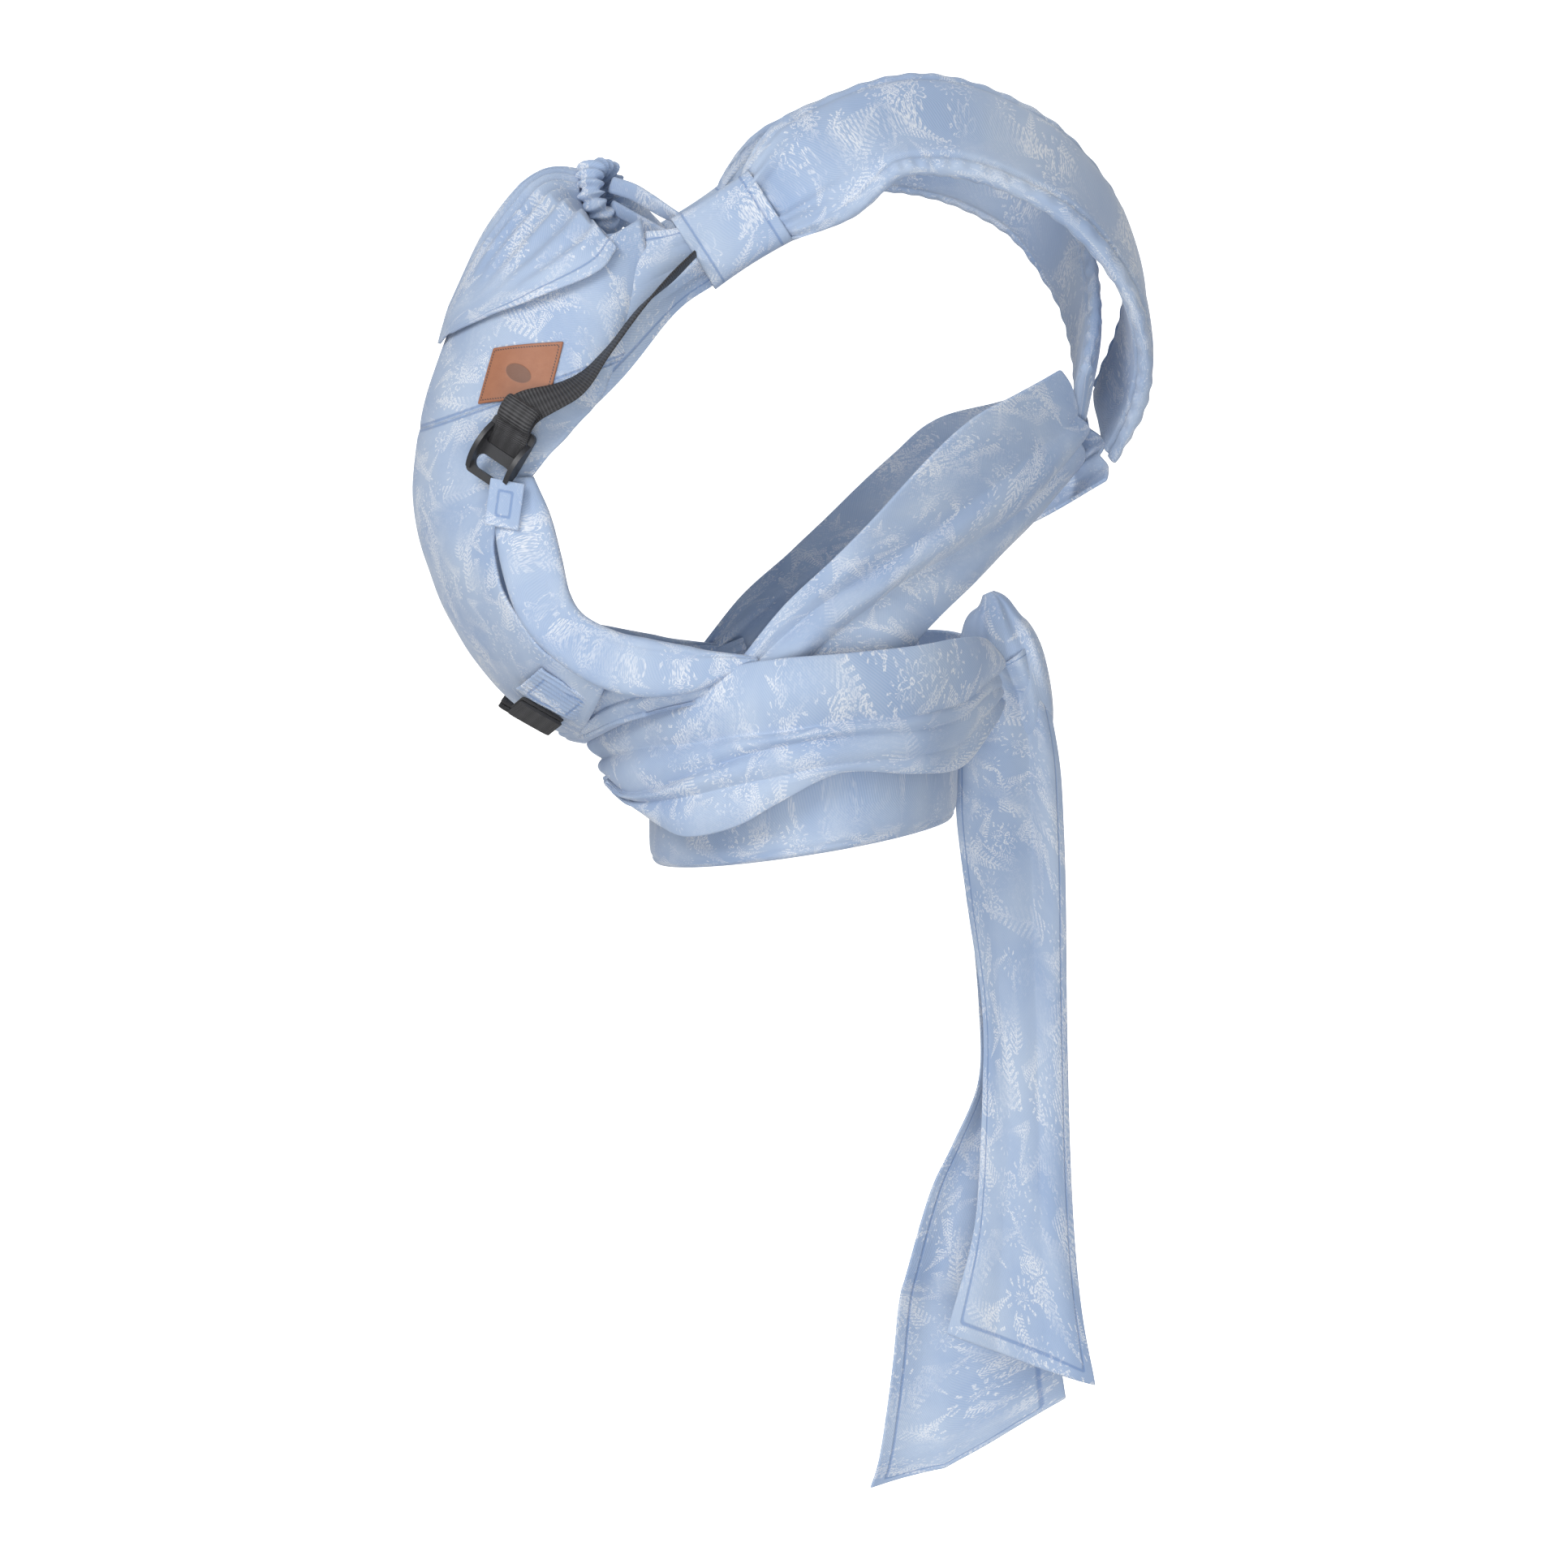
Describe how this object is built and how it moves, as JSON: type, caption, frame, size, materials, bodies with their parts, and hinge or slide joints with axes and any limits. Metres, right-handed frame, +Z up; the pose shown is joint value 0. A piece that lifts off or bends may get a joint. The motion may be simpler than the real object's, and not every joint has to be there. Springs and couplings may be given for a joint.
{
  "type": "baby wrap carrier",
  "caption": "Tie-on baby carrier worn on the front: wrap-cloth panel with hood, padded shoulder straps, ladder-lock adjusters, waistband and wrap ends knotted at the back.",
  "frame": {"origin": "middle of the line across the wearer's shoulders, where the padded straps carry the load", "axes": "+Z up, the wearer faces -Y, +X is the wearer's left"},
  "size_m": [0.3194, 0.4803, 0.9141],
  "materials": {
    "wrap_cloth": "matte",
    "foam": "matte",
    "webbing": "satin",
    "buckle_plastic": "satin",
    "patch_leather": "satin"
  },
  "bodies": {
    "carrier": {"lower_panel": "wrap_cloth", "upper_panel": "wrap_cloth", "left_top_corner": "wrap_cloth", "right_top_corner": "wrap_cloth", "left_leg_pad": "wrap_cloth", "right_leg_pad": "wrap_cloth", "left_width_channel": "wrap_cloth", "right_width_channel": "wrap_cloth", "left_shoulder_pad": "wrap_cloth", "right_shoulder_pad": "wrap_cloth", "left_strap_sleeve": "wrap_cloth", "right_strap_sleeve": "wrap_cloth", "left_cross_wrap": "wrap_cloth", "right_cross_wrap": "wrap_cloth", "left_waist_wrap": "wrap_cloth", "right_waist_wrap": "wrap_cloth", "knot": "wrap_cloth", "waistband": "wrap_cloth", "left_buckle_tab": "wrap_cloth", "right_buckle_tab": "wrap_cloth", "left_leg_foam": "foam", "right_leg_foam": "foam", "left_shoulder_foam": "foam", "right_shoulder_foam": "foam", "waistband_foam": "foam", "left_adjuster_webbing": "webbing", "right_adjuster_webbing": "webbing", "leather_patch": "patch_leather"},
    "left_buckle": {"left_buckle": "buckle_plastic"},
    "right_buckle": {"right_buckle": "buckle_plastic"},
    "left_webbing_end": {"left_webbing_end": "webbing"},
    "right_webbing_end": {"right_webbing_end": "webbing"},
    "left_width_tab": {"left_width_tab": "webbing"},
    "right_width_tab": {"right_width_tab": "webbing"},
    "hood": {"hood": "wrap_cloth", "hood_ring": "wrap_cloth", "left_hood_tie": "wrap_cloth", "right_hood_tie": "wrap_cloth"},
    "near_tail": {"near_tail": "wrap_cloth"},
    "far_tail": {"far_tail": "wrap_cloth"}
  },
  "joints": [
    {"name": "left_buckle_tilt", "type": "hinge", "parent": "carrier", "child": "left_buckle", "pos_m": [0.09502, -0.27635, -0.2255], "axis": [0.3841, 0.7609, -0.523], "range_deg": [0, 45]},
    {"name": "right_buckle_tilt", "type": "hinge", "parent": "carrier", "child": "right_buckle", "pos_m": [-0.09502, -0.27635, -0.2255], "axis": [0.3841, -0.7609, 0.523], "range_deg": [0, 45]},
    {"name": "left_webbing_end_flip", "type": "hinge", "parent": "left_buckle", "child": "left_webbing_end", "pos_m": [0.11133, -0.26171, -0.19223], "axis": [0.3841, 0.7609, -0.523], "range_deg": [0, 60]},
    {"name": "right_webbing_end_flip", "type": "hinge", "parent": "right_buckle", "child": "right_webbing_end", "pos_m": [-0.11133, -0.26171, -0.19223], "axis": [0.3841, -0.7609, 0.523], "range_deg": [0, 60]},
    {"name": "left_width_tab_lift", "type": "hinge", "parent": "carrier", "child": "left_width_tab", "pos_m": [0.06721, -0.23971, -0.37331], "axis": [0.1133, -0.8634, 0.4916], "range_deg": [0, 80]},
    {"name": "right_width_tab_lift", "type": "hinge", "parent": "carrier", "child": "right_width_tab", "pos_m": [-0.06721, -0.23971, -0.37331], "axis": [0.1133, 0.8634, -0.4916], "range_deg": [0, 80]},
    {"name": "hood_fold", "type": "hinge", "parent": "carrier", "child": "hood", "pos_m": [0, -0.3035, -0.1455], "axis": [1, 0, 0], "range_deg": [0, 40]},
    {"name": "near_tail_swing", "type": "hinge", "parent": "carrier", "child": "near_tail", "pos_m": [0.015, 0.0935, -0.396], "axis": [1, 0, 0], "range_deg": [0, 35]},
    {"name": "far_tail_swing", "type": "hinge", "parent": "carrier", "child": "far_tail", "pos_m": [-0.012, 0.0915, -0.396], "axis": [1, 0, 0], "range_deg": [0, 35]}
  ]
}
